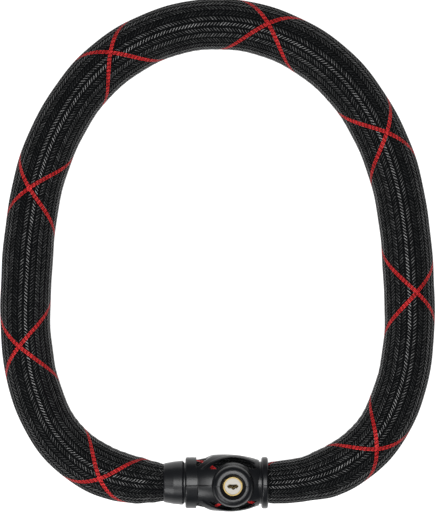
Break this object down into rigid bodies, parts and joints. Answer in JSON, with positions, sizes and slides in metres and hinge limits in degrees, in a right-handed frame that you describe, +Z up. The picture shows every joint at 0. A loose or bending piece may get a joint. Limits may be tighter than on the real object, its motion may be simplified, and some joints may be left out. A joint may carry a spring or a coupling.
{
  "type": "chain lock",
  "caption": "Sleeved square-link chain lock: a woven tube over the chain, with a keyed cylinder lock that takes the grooved bolt on the free end.",
  "frame": {"origin": "centre of the closed loop as seen from above, on the surface it lies on", "axes": "+Z up and out of the keyway, +Y from the lock across the loop to its far side, +X from the bolt end to the fixed end of the chain"},
  "size_m": [0.2664, 0.3148, 0.0365],
  "materials": {
    "cover_plastic": "satin moulded, with a parting line",
    "woven_sleeve": "black herringbone braid with two red tracer threads",
    "hardened_steel": "zinc plated",
    "bare_steel": "machined",
    "black_metal": "satin black",
    "brass": "turned",
    "plated_zinc": "satin nickel plate",
    "rubber": "matt"
  },
  "bodies": {
    "lock": {"lock_cover": "cover_plastic", "lock_body": "bare_steel", "sleeve_lock_section": "woven_sleeve", "cylinder_barrel": "brass", "barrel_retaining_pin": "hardened_steel", "base_plate": "bare_steel", "base_plate_screws": "hardened_steel", "chain_anchor_pin": "hardened_steel", "anti_drill_pins": "hardened_steel", "entry_seal": "rubber", "sleeve_band": "bare_steel"},
    "plug": {"plug_rotor": "plated_zinc", "keyway_disc": "plated_zinc", "code_discs": "brass", "spacer_discs": "brass", "sidebar": "hardened_steel", "cam_disc": "plated_zinc", "retaining_clip": "hardened_steel"},
    "latch": {"latch_plate": "hardened_steel", "follower_pin": "hardened_steel"},
    "link_01": {"chain_link_01": "hardened_steel"},
    "link_02": {"chain_link_02": "hardened_steel", "sleeve_section_02": "woven_sleeve"},
    "link_03": {"chain_link_03": "hardened_steel"},
    "link_04": {"chain_link_04": "hardened_steel", "sleeve_section_04": "woven_sleeve"},
    "link_05": {"chain_link_05": "hardened_steel"},
    "link_06": {"chain_link_06": "hardened_steel", "sleeve_section_06": "woven_sleeve"},
    "link_07": {"chain_link_07": "hardened_steel"},
    "link_08": {"chain_link_08": "hardened_steel", "sleeve_section_08": "woven_sleeve"},
    "link_09": {"chain_link_09": "hardened_steel"},
    "link_10": {"chain_link_10": "hardened_steel", "sleeve_section_10": "woven_sleeve"},
    "link_11": {"chain_link_11": "hardened_steel"},
    "link_12": {"chain_link_12": "hardened_steel", "sleeve_section_12": "woven_sleeve"},
    "link_13": {"chain_link_13": "hardened_steel"},
    "link_14": {"chain_link_14": "hardened_steel", "sleeve_section_14": "woven_sleeve"},
    "link_15": {"chain_link_15": "hardened_steel"},
    "link_16": {"chain_link_16": "hardened_steel", "sleeve_section_16": "woven_sleeve"},
    "link_17": {"chain_link_17": "hardened_steel"},
    "link_18": {"chain_link_18": "hardened_steel", "sleeve_section_18": "woven_sleeve"},
    "link_19": {"chain_link_19": "hardened_steel"},
    "link_20": {"chain_link_20": "hardened_steel", "sleeve_section_20": "woven_sleeve"},
    "link_21": {"chain_link_21": "hardened_steel"},
    "link_22": {"chain_link_22": "hardened_steel", "sleeve_section_22": "woven_sleeve"},
    "link_23": {"chain_link_23": "hardened_steel"},
    "bolt_end": {"locking_bolt": "hardened_steel", "end_ferrule": "black_metal", "end_pin": "hardened_steel", "end_crimp_ring": "bare_steel", "sleeve_end_section": "woven_sleeve", "bolt_seal_ring": "rubber"}
  },
  "joints": [
    {"name": "plug_turn", "type": "hinge", "parent": "lock", "child": "plug", "pos_m": [0.0093, -0.14, 0.0155], "axis": [0, 0, 1], "range_deg": [0, 90]},
    {"name": "latch_slide", "type": "slide", "parent": "lock", "child": "latch", "axis": [0, 1, 0], "range_m": [0, 0.00261]},
    {"name": "lock_to_link_01", "type": "hinge", "parent": "lock", "child": "link_01", "pos_m": [0.033, -0.14, 0.0155], "axis": [0, 0, 1], "range_deg": [0, 1.49]},
    {"name": "link_01_to_02", "type": "hinge", "parent": "link_01", "child": "link_02", "pos_m": [0.07467, -0.13069, 0.0155], "axis": [0, 0, 1], "range_deg": [0, 4.07]},
    {"name": "link_02_to_03", "type": "hinge", "parent": "link_02", "child": "link_03", "pos_m": [0.09437, -0.11579, 0.0155], "axis": [0, 0, 1], "range_deg": [0, 5.5]},
    {"name": "link_03_to_04", "type": "hinge", "parent": "link_03", "child": "link_04", "pos_m": [0.11364, -0.07768, 0.0155], "axis": [0, 0, 1], "range_deg": [0, 5.55]},
    {"name": "link_04_to_05", "type": "hinge", "parent": "link_04", "child": "link_05", "pos_m": [0.11767, -0.05331, 0.0155], "axis": [0, 0, 1], "range_deg": [0, 4.07]},
    {"name": "link_05_to_06", "type": "hinge", "parent": "link_05", "child": "link_06", "pos_m": [0.11752, -0.01061, 0.0155], "axis": [0, 0, 1], "range_deg": [0, 1.49]},
    {"name": "link_06_to_07", "type": "hinge", "parent": "link_06", "child": "link_07", "pos_m": [0.1156, 0.01401, 0.0155], "axis": [0, 0, 1], "range_deg": [-1.49, 0]},
    {"name": "link_07_to_08", "type": "hinge", "parent": "link_07", "child": "link_08", "pos_m": [0.10717, 0.05587, 0.0155], "axis": [0, 0, 1], "range_deg": [-4.07, 0]},
    {"name": "link_08_to_09", "type": "hinge", "parent": "link_08", "child": "link_09", "pos_m": [0.09761, 0.07865, 0.0155], "axis": [0, 0, 1], "range_deg": [-5.55, 0]},
    {"name": "link_09_to_10", "type": "hinge", "parent": "link_09", "child": "link_10", "pos_m": [0.0725, 0.11318, 0.0155], "axis": [0, 0, 1], "range_deg": [-5.55, 0]},
    {"name": "link_10_to_11", "type": "hinge", "parent": "link_10", "child": "link_11", "pos_m": [0.05271, 0.12796, 0.0155], "axis": [0, 0, 1], "range_deg": [-4.07, 0]},
    {"name": "link_11_to_12", "type": "hinge", "parent": "link_11", "child": "link_12", "pos_m": [0.01235, 0.1419, 0.0155], "axis": [0, 0, 1], "range_deg": [-1.49, 0]},
    {"name": "link_12_to_13", "type": "hinge", "parent": "link_12", "child": "link_13", "pos_m": [-0.01235, 0.1419, 0.0155], "axis": [0, 0, 1], "range_deg": [-1.49, 0]},
    {"name": "link_13_to_14", "type": "hinge", "parent": "link_13", "child": "link_14", "pos_m": [-0.05271, 0.12796, 0.0155], "axis": [0, 0, 1], "range_deg": [-4.07, 0]},
    {"name": "link_14_to_15", "type": "hinge", "parent": "link_14", "child": "link_15", "pos_m": [-0.0725, 0.11318, 0.0155], "axis": [0, 0, 1], "range_deg": [-5.55, 0]},
    {"name": "link_15_to_16", "type": "hinge", "parent": "link_15", "child": "link_16", "pos_m": [-0.09761, 0.07865, 0.0155], "axis": [0, 0, 1], "range_deg": [-5.55, 0]},
    {"name": "link_16_to_17", "type": "hinge", "parent": "link_16", "child": "link_17", "pos_m": [-0.10717, 0.05587, 0.0155], "axis": [0, 0, 1], "range_deg": [-4.07, 0]},
    {"name": "link_17_to_18", "type": "hinge", "parent": "link_17", "child": "link_18", "pos_m": [-0.1156, 0.01401, 0.0155], "axis": [0, 0, 1], "range_deg": [-1.49, 0]},
    {"name": "link_18_to_19", "type": "hinge", "parent": "link_18", "child": "link_19", "pos_m": [-0.11752, -0.01061, 0.0155], "axis": [0, 0, 1], "range_deg": [0, 1.49]},
    {"name": "link_19_to_20", "type": "hinge", "parent": "link_19", "child": "link_20", "pos_m": [-0.11767, -0.05331, 0.0155], "axis": [0, 0, 1], "range_deg": [0, 4.07]},
    {"name": "link_20_to_21", "type": "hinge", "parent": "link_20", "child": "link_21", "pos_m": [-0.11364, -0.07768, 0.0155], "axis": [0, 0, 1], "range_deg": [0, 5.55]},
    {"name": "link_21_to_22", "type": "hinge", "parent": "link_21", "child": "link_22", "pos_m": [-0.09437, -0.11579, 0.0155], "axis": [0, 0, 1], "range_deg": [0, 5.55]},
    {"name": "link_22_to_23", "type": "hinge", "parent": "link_22", "child": "link_23", "pos_m": [-0.07467, -0.13069, 0.0155], "axis": [0, 0, 1], "range_deg": [0, 4.07]},
    {"name": "link_23_to_bolt", "type": "hinge", "parent": "link_23", "child": "bolt_end", "pos_m": [-0.033, -0.14, 0.0155], "axis": [0, 0, 1], "range_deg": [0, 1.49]}
  ],
  "couplings": [
    {"joint": "latch_slide", "follows": "plug_turn", "m_per_rad": 0.0016552},
    {"joint": "lock_to_link_01", "follows": "link_02_to_03", "ratio": 0.26795},
    {"joint": "link_01_to_02", "follows": "link_02_to_03", "ratio": 0.73205},
    {"joint": "link_03_to_04", "follows": "link_02_to_03", "ratio": 1},
    {"joint": "link_04_to_05", "follows": "link_02_to_03", "ratio": 0.73205},
    {"joint": "link_05_to_06", "follows": "link_02_to_03", "ratio": 0.26795},
    {"joint": "link_06_to_07", "follows": "link_02_to_03", "ratio": -0.26795},
    {"joint": "link_07_to_08", "follows": "link_02_to_03", "ratio": -0.73205},
    {"joint": "link_08_to_09", "follows": "link_02_to_03", "ratio": -1},
    {"joint": "link_09_to_10", "follows": "link_02_to_03", "ratio": -1},
    {"joint": "link_10_to_11", "follows": "link_02_to_03", "ratio": -0.73205},
    {"joint": "link_11_to_12", "follows": "link_02_to_03", "ratio": -0.26795},
    {"joint": "link_12_to_13", "follows": "link_02_to_03", "ratio": -0.26795},
    {"joint": "link_13_to_14", "follows": "link_02_to_03", "ratio": -0.73205},
    {"joint": "link_14_to_15", "follows": "link_02_to_03", "ratio": -1},
    {"joint": "link_15_to_16", "follows": "link_02_to_03", "ratio": -1},
    {"joint": "link_16_to_17", "follows": "link_02_to_03", "ratio": -0.73205},
    {"joint": "link_17_to_18", "follows": "link_02_to_03", "ratio": -0.26795},
    {"joint": "link_18_to_19", "follows": "link_02_to_03", "ratio": 0.26795},
    {"joint": "link_19_to_20", "follows": "link_02_to_03", "ratio": 0.73205},
    {"joint": "link_20_to_21", "follows": "link_02_to_03", "ratio": 1},
    {"joint": "link_21_to_22", "follows": "link_02_to_03", "ratio": 1},
    {"joint": "link_22_to_23", "follows": "link_02_to_03", "ratio": 0.73205},
    {"joint": "link_23_to_bolt", "follows": "link_02_to_03", "ratio": 0.26795}
  ]
}
